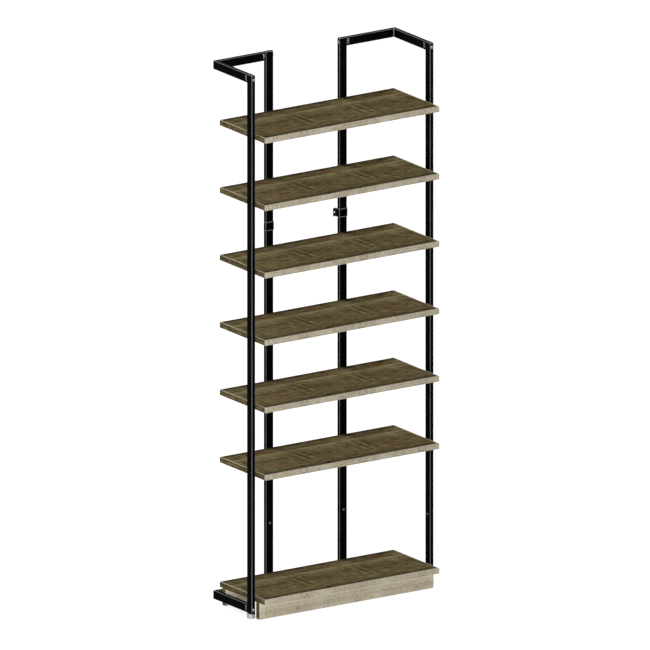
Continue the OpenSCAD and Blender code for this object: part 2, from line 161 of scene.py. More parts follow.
class SteelSettings(bpy.types.PropertyGroup):
    """Coat of the tubes and finish of the bare metal."""

    coat: tone("Coat", "Black powder coat on tubes and brackets", (0.014, 0.014, 0.015))
    # Painted highlight: the pale grey drawn along the tubes' rounded bends and rims; the coat's clouds are
    # faintly tinted towards it
    coat_edge: tone("Coat highlight", "The same coat where it is thin, on bends and rims", (0.500, 0.500, 0.505))
    # Painted highlight: a pale line drawn in the rails' welded inner corner and along the straps' upper and
    # lower cuts
    weld: tone("Weld", "The coat over a rail's weld and on a strap's cuts", (0.520, 0.520, 0.525))
    weld_width: length("Weld width", "Distance of the weld's sides from its middle", 1.8)
    # Width of the painted highlight along a strap's cuts
    cut_width: length("Cut width", "Width of the thin coat along a strap's cuts", 1.8)
    coat_sheen: share("Coat sheen", "Strength of the reflection on the coat", 0.004)
    coat_roughness: share("Coat roughness", "Roughness of the powder coat", 0.34)
    peel: length("Peel", "Size of the ripples in the coat", 1.1)
    zinc: tone("Zinc", "Zinc plating on bolts, rivet nuts and angles", (0.590, 0.590, 0.600))
    nut: tone("Nut", "Dark faces of the cross nuts", (0.340, 0.340, 0.345))
    # Painted highlight: the pale tone drawn on the cross nuts' broken edges
    nut_rim: tone("Nut highlight", "Bright broken edges of the cross nuts", (0.880, 0.880, 0.885))
    cast: tone("Cast zinc", "Cast zinc of the cams", (0.560, 0.560, 0.565))
    zinc_roughness: share("Zinc roughness", "Roughness of the plating", 0.24)


class PlasticSettings(bpy.types.PropertyGroup):
    """Colours of the moulded parts."""

    foot: tone("Foot", "Levelling feet", (0.610, 0.610, 0.615))
    # Painted highlight: the pale tone drawn on the feet's rounded edges
    foot_rim: tone("Foot highlight", "Rounded edges of the feet", (0.740, 0.740, 0.740))
    cap: tone("Cap", "Caps and inserts in the posts", (0.030, 0.030, 0.032))
    # Painted highlight: the pale tone drawn on the caps' rounded edges
    cap_rim: tone("Cap highlight", "Rounded edges of the caps", (0.760, 0.760, 0.765))
    texture: length("Texture", "Size of the fine moulded texture", 0.5)


class FixingSettings(bpy.types.PropertyGroup):
    """Sizes of the turned and pressed fasteners, and of the eased edges."""

    head: length("Head", "Diameter of the domed bolt head", 12)
    head_height: length("Head height", "Height of the domed bolt head", 3.3)
    head_rim: length("Head rim", "Height of the straight rim under the dome", 0.6)
    socket: length("Socket", "Hexagon socket, across its flats", 4)
    socket_depth: length("Socket depth", "Depth of the hexagon socket", 2)
    bolt: length("Bolt", "Diameter of the frame bolt's shank", 5.9)
    bolt_length: length("Bolt length", "Length of the frame bolt under its head", 47)
    flange: length("Flange", "Diameter of the rivet nut's flange", 8)
    rivet: length("Rivet", "Diameter of the rivet nut's body", 7)
    collar: length("Collar", "Diameter of the collar behind the wall of the tube", 9)
    rivet_bore: length("Rivet bore", "Thread in the rivet nut", 5)
    rivet_length: length("Rivet length", "Length of the rivet nut with its flange", 12.5)
    tube_wall: length("Tube wall", "Thickness of the wall that a rivet nut grips", 1.5)
    band_easing: length("Band easing", "Radius on the outer edges of the bands", 0.9)
    strap_easing: length("Strap easing", "Radius on the wall straps' cuts", 0.3)
    cap_easing: length("Cap easing", "Radius on the upper edge of the caps", 0.8)
    nut_easing: length("Nut easing", "Width of the cross nuts' broken edges", 1)
    foot_edge: length("Foot edge", "Radius on the lower edge of the feet", 2)
    segments: IntProperty(name="Segments", description="Sides of a turned piece", default=40, min=12, max=96)


class StudioSettings(bpy.types.PropertyGroup):
    """Camera, floor and lamps."""

    azimuth: angle("Azimuth", "Turn of the camera round the unit, from the front", -33.87)
    elevation: angle("Elevation", "Height of the camera above the horizon", 15.93)
    picture: IntProperty(name="Picture", description="Side of the square picture, in pixels", default=650)
    scale: number("Scale", "Pixels of the picture for one metre across the view", 280.37)
    origin_x: number("Origin X", "Column of the picture in which the unit's origin lies", 327.18)
    origin_y: number("Origin Y", "Row of the picture in which the unit's origin lies", 595.97)
    distance: length("Distance", "Distance of the camera", 6000)
    world: number("World", "Strength of the even light from all sides", 0.42)
    low_lamp: share("Low lamp", "Light of the low lamp, against a world of strength 1", 0.34)
    front_lamp: share("Front lamp", "Light of the high lamp in front", 0.25)
    back_lamp: share("Back lamp", "Light of the high lamp behind the unit", 0.50)
    lamp_distance: length("Lamp distance", "Distance of the lamps from the unit's middle", 10000)
    lamp_aim: length("Lamp aim", "Height at which the lamps are aimed", 1000)
    floor: tone("Floor", "Colour that the floor throws back at the unit", (0.93, 0.93, 0.93))
    floor_side: length("Floor side", "Side of the square floor", 40000)
    floor_shown: share("Floor shown", "Share of the light that the floor shows, with its shadows", 0.30)
    floor_glow: share("Floor glow", "Light of its own that brings the shown floor up to white", 0.86)


# Node trees


class Value:
    """What a socket gives, ready to be used in a formula."""

    def __init__(self, wiring, socket):
        self.wiring = wiring
        self.socket = socket

    def __add__(self, other):
        return self.wiring.math("ADD", self, other)

    def __mul__(self, other):
        return self.wiring.math("MULTIPLY", self, other)

    def __sub__(self, other):
        return self.wiring.math("SUBTRACT", self, other)

    def __rsub__(self, other):
        return self.wiring.math("SUBTRACT", other, self)

    def __truediv__(self, other):
        return self.wiring.math("DIVIDE", self, other)

    def __rtruediv__(self, other):
        return self.wiring.math("DIVIDE", other, self)

    def __neg__(self):
        return self * -1.0

    def __abs__(self):
        return self.wiring.math("ABSOLUTE", self)


class Wiring:
    """Adds nodes to a tree and links them, so that a tree is written like a formula."""

    def __init__(self, tree):
        self.tree = tree

    def put(self, socket, value):
        if isinstance(value, Value):
            self.tree.links.new(value.socket, socket)
        else:
            socket.default_value = value

    def add(self, kind, inputs=(), **settings):
        node = self.tree.nodes.new(kind)
        for key, value in settings.items():
            setattr(node, key, value)
        for key, value in dict(inputs).items():
            self.put(node.inputs[key], value)
        return node

    def get(self, kind, inputs=(), output=0, **settings):
        """Adds a node and gives one of its outputs."""
        return Value(self, self.add(kind, inputs, **settings).outputs[output])

    def all_of(self, node):
        """The named outputs of a node."""
        return {socket.name: Value(self, socket) for socket in node.outputs if socket.name}

    def math(self, operation, *values):
        return self.get("ShaderNodeMath", enumerate(values), operation=operation)

    def most(self, first, second):
        return self.math("MAXIMUM", first, second)

    def step(self, value, low, high, low_to=0.0, high_to=1.0):
        """Runs smoothly from low_to to high_to while value runs from low to high."""
        inputs = {"Value": value, "From Min": low, "From Max": high, "To Min": low_to, "To Max": high_to}
        return self.get("ShaderNodeMapRange", inputs, interpolation_type="SMOOTHSTEP")

    def bump_at(self, value, centre, width):
        """One at centre and nothing from width away."""
        return self.step(abs(value - centre), 0.0, width, 1.0, 0.0)

    def split(self, value, light, dark, above=(0.50, 0.75), below=(0.48, 0.25)):
        """The high and the low part of a noise, at most as strong as light and dark."""
        return self.step(value, *above, 0.0, light), self.step(value, *below, 0.0, dark)

    def vector(self, operation, *values):
        return self.get("ShaderNodeVectorMath", enumerate(values), operation=operation)

    def parts(self, vector):
        return tuple(self.all_of(self.add("ShaderNodeSeparateXYZ", {0: vector})).values())

    def joined(self, x, y, z):
        return self.get("ShaderNodeCombineXYZ", {0: x, 1: y, 2: z})

    def noise(self, place, scale=1.0, detail=2.0, roughness=0.5, distortion=0.0):
        inputs = {
            "Vector": place, "Scale": scale, "Detail": detail, "Roughness": roughness,
            "Distortion": distortion,
        }
        return self.get("ShaderNodeTexNoise", inputs)

    def layers(self, colour, *coats):
        """Lays coats over a colour, one after the other. Each is a pair of mask and colour."""
        for mask, coat in coats:
            inputs = {0: mask, 6: colour, 7: coat}
            colour = self.get("ShaderNodeMix", inputs, 2, data_type="RGBA", clamp_factor=True)
        return colour

    def group(self, name, **inputs):
        """Places a shader group and gives its outputs by name."""
        tree = bpy.data.node_groups[name]
        return self.all_of(self.add("ShaderNodeGroup", inputs, node_tree=tree))


NUMBER = "NodeSocketFloat"
VECTOR = "NodeSocketVector"
SHAPE = "NodeSocketGeometry"


def new_group(name, inputs, outputs, kind="ShaderNodeTree", result=NUMBER):
    """A node group with named sockets: its wiring, its inputs, and a function that takes its results.

    An input is given by its default number, or else by its kind of socket.
    """
    tree = bpy.data.node_groups.new(name, kind)
    for label, given in inputs.items():
        plain = {float: NUMBER, int: "NodeSocketInt"}.get(type(given))
        socket = tree.interface.new_socket(name=label, in_out="INPUT", socket_type=plain or given)
        if plain:
            socket.default_value = given
    for label in outputs:
        tree.interface.new_socket(name=label, in_out="OUTPUT", socket_type=result)
    w = Wiring(tree)
    given = w.all_of(w.add("NodeGroupInput"))
    ends = w.add("NodeGroupOutput").inputs

    def finish(**values):
        for label, value in values.items():
            w.put(ends[label], value)

    return w, given, finish


# Shader groups, with all lengths in millimetres


def wood_grain_group():
    """Fibres, broad streaks and pores that run along X."""
    w, given, finish = new_group(
        "wood_grain", {"Place": VECTOR, "Fibre": 1.5, "Run": 60.0}, ("Fibre", "Streak", "Pore")
    )
    across = 1.0 / given["Fibre"]
    fine = w.vector("MULTIPLY", given["Place"], w.joined(1.0 / given["Run"], across, across))
    broad = w.vector("MULTIPLY", fine, (0.35, 0.11, 0.11))
    short = w.vector("MULTIPLY", fine, (3.0, 1.4, 1.4))
    wander = w.noise(broad, detail=1.0) * 4.0
    bent = w.vector("ADD", fine, w.joined(0.0, wander, 0.0))
    finish(
        Fibre=w.noise(bent, detail=3.0, roughness=0.6),
        Streak=w.noise(broad, detail=3.0, roughness=0.55, distortion=0.6),
        Pore=w.step(w.noise(short, detail=1.0), 0.62, 0.74),
    )


def fleck_group():
    """Soft flecks a little longer than wide: light and dark ones, warm and cool ones."""
    w, given, finish = new_group(
        "fleck", {"Place": VECTOR, "Length": 30.0, "Width": 20.0}, ("Light", "Dark", "Warm", "Cool")
    )
    across = 1.0 / given["Width"]
    scaled = w.vector("MULTIPLY", given["Place"], w.joined(1.0 / given["Length"], across, across))
    tone_at = w.noise(scaled, roughness=0.55)
    hue_at = w.noise(w.vector("ADD", scaled, (13.0, 7.0, 3.0)), roughness=0.55)
    finish(
        Light=w.step(tone_at, 0.50, 0.74), Dark=w.step(tone_at, 0.50, 0.26),
        Warm=w.step(hue_at, 0.48, 0.68), Cool=w.step(hue_at, 0.50, 0.32),
    )


def decor_offset_group():
    """Signed distance from the nearest repeat of a printed motif."""
    w, given, finish = new_group(
        "decor_offset", {"Along": 0.0, "Centre": 0.0, "Repeat": 254.0}, ("Offset",)
    )
    half = given["Repeat"] * 0.5
    finish(Offset=w.math("WRAP", given["Along"] - given["Centre"], half, -half))


def knot_group():
    """A small knot: a dark heart and an arch of grain above it."""
    w, given, finish = new_group("knot", {"Along": 0.0, "Up": 0.0, "Radius": 12.0}, ("Heart", "Arch"))
    x = given["Along"] / given["Radius"]
    y = given["Up"] / (given["Radius"] * 1.5)
    away = w.math("SQRT", x * x + y * y)
    finish(
        Heart=w.step(away, 0.12, 0.42, 1.0, 0.0),
        Arch=w.bump_at(away, 0.95, 0.42) * w.step(y, -0.35, 0.1),
    )


def edge_highlight_group():
    """Mask of rounded edges, where highlights are painted: one where the surface faces none of the three
    main directions.
    """
    w, given, finish = new_group(
        "edge_wear", {"Normal": VECTOR, "Place": VECTOR, "Uneven": 0.3}, ("Mask",)
    )
    x, y, z = w.parts(w.vector("ABSOLUTE", given["Normal"]))
    bend = w.step(w.most(w.most(x, y), z), 0.995, 0.90)
    patchy = w.noise(given["Place"], 0.035, 3.0)
    finish(Mask=bend * (1.0 - given["Uneven"] * patchy))


def fine_skin_group():
    """Ripples and clouds of a coated, cast or moulded skin."""
    w, given, finish = new_group("fine_skin", {"Place": VECTOR, "Size": 1.0}, ("Height", "Cloud"))
    rate = 1.0 / given["Size"]
    finish(Height=w.noise(given["Place"], rate), Cloud=w.noise(given["Place"], rate * 0.03, 4.0, 0.6))


# Materials


def linear(colour, lift=1.0):
    """A colour as it looks on the screen, as the light that Blender works in, made brighter by lift."""
    parts = [c / 12.92 if c <= 0.04045 else ((c + 0.055) / 1.055) ** 2.4 for c in colour]
    return (*(lift * part for part in parts), 1.0)


def new_material(name):
    """The wiring of a new material, and the place in millimetres."""
    material = bpy.data.materials.new(name)
    material.use_nodes = True
    material.node_tree.nodes.clear()
    w = Wiring(material.node_tree)
    place = w.get("ShaderNodeTexCoord", output="Object")
    return w, w.vector("MULTIPLY", place, (1.0 / MM,) * 3)


def finish_surface(w, colour, roughness, height, depth, shine=0.5, metallic=0.0):
    """Principled surface with a bump, whose depth is in millimetres."""
    bump = w.get("ShaderNodeBump", {"Strength": 1.0, "Distance": depth * MM, "Height": height})
    surface = w.get(
        "ShaderNodeBsdfPrincipled",
        {
            "Base Color": colour, "Roughness": roughness, "Specular IOR Level": shine,
            "Metallic": metallic, "Normal": bump,
        },
    )
    w.add("ShaderNodeOutputMaterial", {"Surface": surface})


def finish_wood(w, grain, colour, depth, shine=0.5):
    """Wood surface, rougher on its fibres, and sunk in its pores."""
    roughness = grain["Fibre"] * 0.16 + grain["Pore"] * 0.12 + 0.46
    finish_surface(w, colour, roughness, grain["Fibre"] * 0.5 - grain["Pore"], depth, shine)


def facing(w):
    """The direction in which the surface looks."""
    return w.get("ShaderNodeNewGeometry", output="Normal")


def highlit_edges(w, place, uneven=0.3):
    """Mask of the eased edges, where a highlight is painted."""
    return w.group("edge_wear", Normal=facing(w), Place=place, Uneven=uneven)["Mask"]


def rubbed(w, place):
    """Mask of the eased edges and narrow faces that look up, where a highlight is painted as if lit from
    above.
    """
    upward = w.parts(facing(w))[2]
    edges = highlit_edges(w, place, 0.15) * w.step(upward, 0.1, 0.4)
    return w.most(edges, w.step(upward, 0.90, 0.99))


def printed(w, oak, along):
    """A function that gives the distance along the board from a motif, which comes once in a repeat."""

    def motif(centre):
        inputs = {"Along": along, "Centre": centre, "Repeat": oak.repeat / MM}
        return w.group("decor_offset", **inputs)["Offset"]

    return motif


def weathered_oak(oak, name, lift, low, high):
    """Dark oak on the large faces, with a plank seam and a figure at every repeat.

    low and high are the corners of the boards, and lift scales the wood's brightness as a whole; below one
    it is painted shade for the shelves that get more light.
    """
    w, place = new_material(name)
    flat = w.vector("MULTIPLY", place, (1.0, 1.0, 0.0))
    grain = w.group("wood_grain", Place=flat, Fibre=oak.fibre / MM)
    x, y, _ = w.parts(place)
    front = y - low.y / MM
    back = high.y / MM - y
    end = high.x / MM - abs(x)
    motif = printed(w, oak, x - low.x / MM)

    # The seam between the rear plank and the middle one, and the tone of the planks
    seam = w.bump_at(back, oak.seam / MM, 16.0)
    below_seam = w.bump_at(back, 96.0, 22.0)
    plank = w.step(back, 56.0, 66.0, 1.0, 0.0)
    plank_light = plank * w.bump_at(motif(-12.0), 0.0, 60.0)
    plank_brown = plank * w.bump_at(motif(160.0), 0.0, 96.0)

    # The figure: streaks across the grain in the middle of the board, slightly slanted
    figure = motif(253.0)
    slanted = figure + back * -0.07 + 10.5
    waves = w.math("COSINE", slanted * (math.tau * MM / oak.figure_pitch))
    zone = w.step(abs(figure), 54.0, 24.0) * w.step(back, 90.0, 112.0) * w.step(back, 232.0, 196.0)
    wavy = waves * zone * w.step(grain["Streak"], 0.25, 0.6, 0.5, 1.0)
    figure_dark = w.most(wavy, 0.0)
    figure_light = w.most(-wavy, 0.0)

    # Light patches near the seam and brown ones towards the front
    patches = w.bump_at(motif(82.0), 0.0, 40.0) * 0.34 + w.bump_at(motif(156.0), 0.0, 46.0) * 0.40
    light_patches = patches * w.bump_at(back, 108.0, 34.0)
    brown_patch = w.bump_at(motif(112.0), 0.0, 84.0) * w.bump_at(back, 206.0, 34.0)
    brown_cloud = w.step(w.noise(flat, 0.012, 3.0, 0.6), 0.50, 0.72)

    # Dark rims along the front and the back edge, and two zones along the board
    rim = w.most(w.step(front, 38.0, 14.0), w.step(back, 34.0, 12.0))
    pale_zone = w.bump_at(back, 216.0, 44.0)
    dark_zone = w.bump_at(back, 140.0, 34.0)

    fleck = w.group("fleck", Place=flat, Length=36.0, Width=17.0)
    mottle = w.group("fleck", Place=flat, Length=10.0, Width=9.0)
    streak_light, streak_dark = w.split(grain["Streak"], 0.45, 0.55, (0.52, 0.78), (0.46, 0.22))
    fibre_light, fibre_dark = w.split(grain["Fibre"], 0.42, 0.40)
    light = (
        seam * 0.88 + below_seam * 0.18 + plank_light * 0.44 + figure_light * 0.55 + light_patches
        + streak_light + fibre_light + pale_zone * 0.16 + fleck["Light"] * 0.66 + mottle["Light"] * 0.22
    )
    brown = plank_brown * 0.62 + brown_patch * 0.55 + brown_cloud * 0.5 + fleck["Warm"] * 0.75
    dark = (
        rim * 0.50 + plank * 0.14 + dark_zone * 0.16 + figure_dark * 0.46 + streak_dark + fibre_dark
        + fleck["Dark"] * 0.54 + mottle["Dark"] * 0.22 + grain["Pore"] * 0.42
    )
    # The seam runs on unbroken
    dark = dark * (1.0 - seam * 0.6)
    # Painted highlight: the front edge and the ends are drawn pale, as edges that catch the light
    highlit_rims = w.most(w.step(front, 7.0, 5.0), w.step(end, 4.1, 3.3))
    colour = w.layers(
        linear(oak.top, lift),
        (fleck["Cool"] * 0.9, linear(oak.top_olive, lift)),
        (brown, linear(oak.top_brown, lift)),
        (light, linear(oak.top_light, lift)),
        (dark, linear(oak.top_dark, lift)),
        (highlit_rims, linear(oak.rubbed)),
    )
    finish_wood(w, grain, colour, oak.pore_depth / MM, oak.sheen)


def washed_oak(oak, name, lift, height_shading, base, second, bay):
    """Pale oak of the fronts, with small knots at every repeat.

    lift makes it brighter as a whole, as painted light for a board that lies in shade, and wear is how
    strongly the plinth is painted lighter towards its top and darker towards its foot. base and second are
    the lowest corners of the two lowest shelves, and bay is the pitch of the others.
    """
    w, place = new_material(name)
    x, y, z = w.parts(place)
    # The same piece of the print lies on every shelf, so height counts from the shelf's underside
    above_base = z - base.z / MM
    above_shelf = w.math("FLOORED_MODULO", z - second.z / MM, bay / MM)
    lowest = w.math("LESS_THAN", z, second.z / MM - 1.0)
    up = above_shelf + lowest * (above_base - above_shelf)
    grain = w.group("wood_grain", Place=w.joined(x, y * 0.5, up), Fibre=oak.fibre / MM)
    motif = printed(w, oak, x - base.x / MM)

    def knot(centre, height, radius):
        return w.group("knot", Along=motif(centre), Up=up - height, Radius=radius)

    # One knot in the shelves' strip of the print, and one in the plinth's
    shelf_knot = knot(167.0, 3.0, 15.0)
    plinth_knot = knot(166.0, 4.0 - base.z / MM, 10.5)
    heart = shelf_knot["Heart"] + plinth_knot["Heart"]
    arch = shelf_knot["Arch"] + plinth_knot["Arch"]
    pale = w.bump_at(motif(0.0), 0.0, 40.0) * w.step(grain["Streak"], 0.2, 0.6, 0.7, 1.0)
    # Streaks across the grain
    across = w.noise(w.joined(x * 0.11, 0.0, up * 0.012))
    cross_light, cross_dark = w.split(across, 0.32, 0.22, (0.52, 0.70), (0.46, 0.28))
    streak_light, streak_dark = w.split(grain["Streak"], 0.50, 0.22)
    fibre_light, fibre_dark = w.split(grain["Fibre"], 0.42, 0.34)
    fleck = w.group("fleck", Place=place, Length=12.0, Width=7.0)
    mottle = w.group("fleck", Place=place, Length=3.6, Width=12.0)
    # Painted light: with wear, the plinth is drawn lighter towards its top, which the base shelf shades
    light = (
        pale * 0.70 + cross_light + streak_light + fibre_light + fleck["Light"] * 0.5
        + mottle["Light"] * 0.45 + w.step(z, 22.0, 54.0) * height_shading
    )
    # Painted light: paler close under the base shelf, where its band shades the plinth
    overhang_painted_light = w.step(z, 40.0, 50.0) * height_shading * 0.9
    # Painted shade: darker at about 18 mm up and along the lower edge, against the light that the floor
    # throws up
    foot_painted_shade = (w.bump_at(z, 18.0, 16.0) * 0.30 + w.step(z, 7.0, 2.0) * 0.35) * height_shading
    # The lower edge of a band lies in its own shade
    low_edge = w.step(above_shelf, 4.0, 1.0) * 0.35
    dark = (
        low_edge + heart * 0.75 + arch * 0.42 + cross_dark + streak_dark + fibre_dark
        + grain["Pore"] * 0.34 + fleck["Dark"] * 0.35 + mottle["Dark"] * 0.45 + foot_painted_shade
    )
    colour = w.layers(
        linear(oak.front, lift),
        (fleck["Warm"] * 0.6, linear(oak.front_warm, lift)),
        (light, linear(oak.front_light, lift)),
        (overhang_painted_light, linear(oak.rubbed, 1.25 * lift)),
        (dark, linear(oak.front_dark, lift)),
        # Painted highlight on the upper edges and narrow upward faces
        (rubbed(w, place), linear(oak.rubbed)),
    )
    finish_wood(w, grain, colour, oak.pore_depth / MM, oak.sheen)


def brown_oak(oak, low, high):
    """Brown oak on the bands of ends and back, whose grain runs along the edge."""
    w, place = new_material("brown_oak")
    x, y, z = w.parts(place)
    along_edge = w.joined(x + y, 0.0, z)
    grain = w.group("wood_grain", Place=along_edge, Fibre=oak.fibre / MM)
    fleck = w.group("fleck", Place=along_edge, Length=24.0, Width=9.0)
    streak_light, streak_dark = w.split(grain["Streak"], 0.5, 0.4)
    fibre_light, fibre_dark = w.split(grain["Fibre"], 0.3, 0.3)
    # Painted highlight along the upper edges of the ends, none near the back, and along the ends' front
    # corners
    highlit_end_edges = rubbed(w, place) * w.step(high.y / MM - y, 1.0, 3.0)
    colour = w.layers(
        linear(oak.end),
        (streak_light + fibre_light + fleck["Light"] * 0.6, linear(oak.top_light)),
        (streak_dark + fibre_dark + grain["Pore"] * 0.3 + fleck["Dark"] * 0.6, linear(oak.top_dark)),
        (w.most(highlit_end_edges, w.step(y - low.y / MM, 5.0, 3.0)), linear(oak.rubbed)),
    )
    finish_wood(w, grain, colour, oak.pore_depth / MM, oak.sheen)


def beech_wood(oak):
    """Plain pale beech of the dowels, whose grain runs up."""
    w, place = new_material("beech_wood")
    x, y, z = w.parts(place)
    grain = w.group("wood_grain", Place=w.joined(z, y, x), Fibre=oak.fibre / MM, Run=30.0)
    colour = w.layers(linear(oak.beech), (grain["Fibre"], linear(oak.beech_light)))
    finish_wood(w, grain, colour, 0.05)


def skin_of(w, place, size, base_roughness, spread):
    """A fine skin: its ripples, its clouds, and the roughness, which the clouds make uneven."""
    skin = w.group("fine_skin", Place=place, Size=size / MM)
    return skin["Height"], skin["Cloud"], skin["Cloud"] * spread + base_roughness


def powder_coat(name, steel, pale_at):
    """Satin black coat, rippled, with a highlight painted on the bends and where pale_at is one."""
    w, place = new_material(name)
    height, cloud, roughness = skin_of(w, place, steel.peel, steel.coat_roughness, 0.16)
    colour = w.layers(
        linear(steel.coat),
        (cloud * 0.006, linear(steel.coat_edge)),
        (highlit_edges(w, place), linear(steel.coat_edge)),
        (pale_at(w, steel, *w.parts(place)), linear(steel.weld)),
    )
    finish_surface(w, colour, roughness, height, 0.012, steel.coat_sheen)


def rail_weld_highlight(w, steel, x, y, _):
    """One in the welded inner corner of the rails, which are bent round behind the posts, where a pale line
    is painted as a highlight.
    """
    corner = Vector((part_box("post_front_right")[0].x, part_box("post_rear_right")[0].y)) / MM
    off = w.most(abs(abs(x) - corner.x), abs(y - corner.y))
    width = steel.weld_width / MM
    return w.step(off, width + 0.8, width)


def strap_cut_highlight(w, steel, _x, _y, z):
    """One along the strap's upper and lower cut, where a highlight is painted."""
    low, high = (corner.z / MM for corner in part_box("wall_bracket_right"))
    inside = (high - low) / 2 - steel.cut_width / MM
    return w.step(abs(z - (low + high) / 2), inside - 0.6, inside)


def bare_metal(name, colour, roughness, size, rim=None):
    """Plated or cast metal with a fine skin and cloudy reflections, with a highlight painted on its edges if
    it has a rim.
    """
    w, place = new_material(name)
    height, cloud, rough = skin_of(w, place, size * MM, roughness, 0.2)
    base = w.layers(linear([0.72 * part for part in colour]), (w.step(cloud, 0.3, 0.7), linear(colour)))
    # Painted highlight on the eased edges
    if rim:
        base = w.layers(base, (highlit_edges(w, place), linear(rim)))
    finish_surface(w, base, rough, height, 0.006, metallic=1.0)


def moulded(name, colour, rim, size, roughness, shine):
    """Moulded plastic with a fine texture, with a highlight painted on its edges."""
    w, place = new_material(name)
    height, cloud, rough = skin_of(w, place, size, roughness, 0.14)
    base = w.layers(
        linear([0.94 * part for part in colour]),
        (cloud, linear(colour)),
        (highlit_edges(w, place), linear(rim)),
    )
    finish_surface(w, base, rough, height, 0.015, shine)


# Meshes


def new_object(name, data):
    """An object in the scene that shows data."""
    item = bpy.data.objects.new(name, data)
    bpy.context.scene.collection.objects.link(item)
    return item


def paint(item, material):
    """Gives an object one material, by its name."""
    slots = item.data.materials
    slots.clear()
    slots.append(bpy.data.materials[material])


def dress(node, material):
    """Gives a CAD node, whose shape is right as it is, its material."""
    paint(NODES[node], material)


def finished_piece(name, mesh, material, node):
    """Gives a mesh its object and its material. It replaces a CAD node, and rides on the same body."""
    piece = new_object(name, mesh)
    paint(piece, material)
    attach(piece, NODES[node]["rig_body"])
    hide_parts(node)


def eased_copy(node, name, material, radius, wanted):
    """Copy of a CAD node with round edges where wanted(edge) is true. It replaces the node."""
    bm = bmesh.new()
    bm.from_mesh(NODES[node].data)
    bmesh.ops.remove_doubles(bm, verts=bm.verts, dist=0.001 * MM)
    bmesh.ops.dissolve_limit(
        bm, angle_limit=math.radians(0.5), verts=bm.verts, edges=bm.edges, use_dissolve_boundaries=False
    )
    sharp = math.radians(60)
    edges = [e for e in bm.edges if e.calc_face_angle(0.0) > sharp and wanted(e)]
    bmesh.ops.bevel(
        bm, geom=edges, offset=radius, offset_type="OFFSET", segments=3, profile=0.5, affect="EDGES",
        clamp_overlap=True,
    )
    bmesh.ops.recalc_face_normals(bm, faces=bm.faces)
    mesh = bpy.data.meshes.new(name)
    bm.to_mesh(mesh)
    bm.free()
    shade_by_angle(mesh)
    finished_piece(name, mesh, material, node)


def shade_by_angle(mesh):
    """Smooth shading that keeps the sharp edges."""
    mesh.shade_smooth()
    mesh.set_sharp_from_angle(angle=math.radians(32))


# Geometry node trees of the turned fasteners


def shape_tree(name, sizes):
    """A geometry tree with places, a material and named sizes in metres."""
    inputs = {"Places": SHAPE, "Material": "NodeSocketMaterial", "Segments": 40}
    inputs.update((label, 0.01) for label in sizes)
    return new_group(name, inputs, ("Pieces",), "GeometryNodeTree", SHAPE)


def turned(w, profile, segments):
    """Turns a profile round Z. It is a list of (radius, height), from the axis round to the axis."""
    columns = segments + 1.0
    grid = w.get(
        "GeometryNodeMeshGrid",
        {"Size X": 1.0, "Size Y": 1.0, "Vertices X": len(profile), "Vertices Y": columns},
    )
    index = w.get("GeometryNodeInputIndex")
    ring = w.math("FLOOR", (index + 0.5) / columns)
    turn = (index - ring * columns) / segments * math.tau
    radius, height = (pick(w, ring, [point[side] for point in profile]) for side in (0, 1))
    place = w.joined(radius * w.math("COSINE", turn), radius * w.math("SINE", turn), height)
    placed = w.get("GeometryNodeSetPosition", {"Geometry": grid, "Position": place})
    return w.get("GeometryNodeMergeByDistance", {"Geometry": placed, "Distance": 0.002 * MM})


def pick(w, index, values):
    """The value whose number is index."""
    node = w.add("GeometryNodeIndexSwitch", data_type="FLOAT")
    while len(node.index_switch_items) < len(values):
        node.index_switch_items.new()
    for number, value in enumerate([index, *values]):
        w.put(node.inputs[number], value)
    return Value(w, node.outputs[0])


def set_out(w, given, finish, solid):
    """Puts the solid on every place, with its Z along the place's axis."""
    axis = w.get("GeometryNodeInputNamedAttribute", {"Name": "axis"}, data_type="FLOAT_VECTOR")
    aligned = w.get("FunctionNodeAlignRotationToVector", {"Vector": axis}, axis="Z")
    copies = w.get(
        "GeometryNodeInstanceOnPoints",
        {"Points": given["Places"], "Instance": solid, "Rotation": aligned},
    )
    real = w.get("GeometryNodeRealizeInstances", {"Geometry": copies})
    finish(Pieces=w.get("GeometryNodeSetMaterial", {"Geometry": real, "Material": given["Material"]}))
    return w.tree


def frame_bolt_tree():
    """Bolt with a domed head and a hexagon socket. Its origin is under the head, and Z points out of it."""
    w, given, finish = shape_tree(
        "frame_bolt",
        ["Head", "Head height", "Head rim", "Socket", "Socket depth", "Bolt", "Bolt length"],
    )
    radius, shank = given["Head"] * 0.5, given["Bolt"] * 0.5
    rim, top = given["Head rim"], given["Head height"]
    tip = -given["Bolt length"]
    chamfer = shank * 0.25
    profile = [
        (0.0, tip), (shank - chamfer, tip), (shank, tip + chamfer), (shank, 0.0), (radius, 0.0),
        (radius, rim),
    ]
    for part in (0.94, 0.82, 0.66, 0.46, 0.22):
        profile.append((radius * part, rim + (top - rim) * math.sqrt(1.0 - part * part)))
    profile.append((0.0, top))
    low, high = top - given["Socket depth"], top * 2.0
    corner = given["Socket"] * (0.5 / math.cos(math.pi / 6))
    prism = w.get("GeometryNodeMeshCylinder", {"Vertices": 6, "Radius": corner, "Depth": high - low})
    middle = w.joined(0.0, 0.0, (low + high) * 0.5)
    hexagon = w.get("GeometryNodeTransform", {"Geometry": prism, "Translation": middle})
    inputs = {"Mesh 1": turned(w, profile, given["Segments"]), "Mesh 2": hexagon}
    solid = w.get("GeometryNodeMeshBoolean", inputs, operation="DIFFERENCE", solver="EXACT")
    return set_out(w, given, finish, solid)


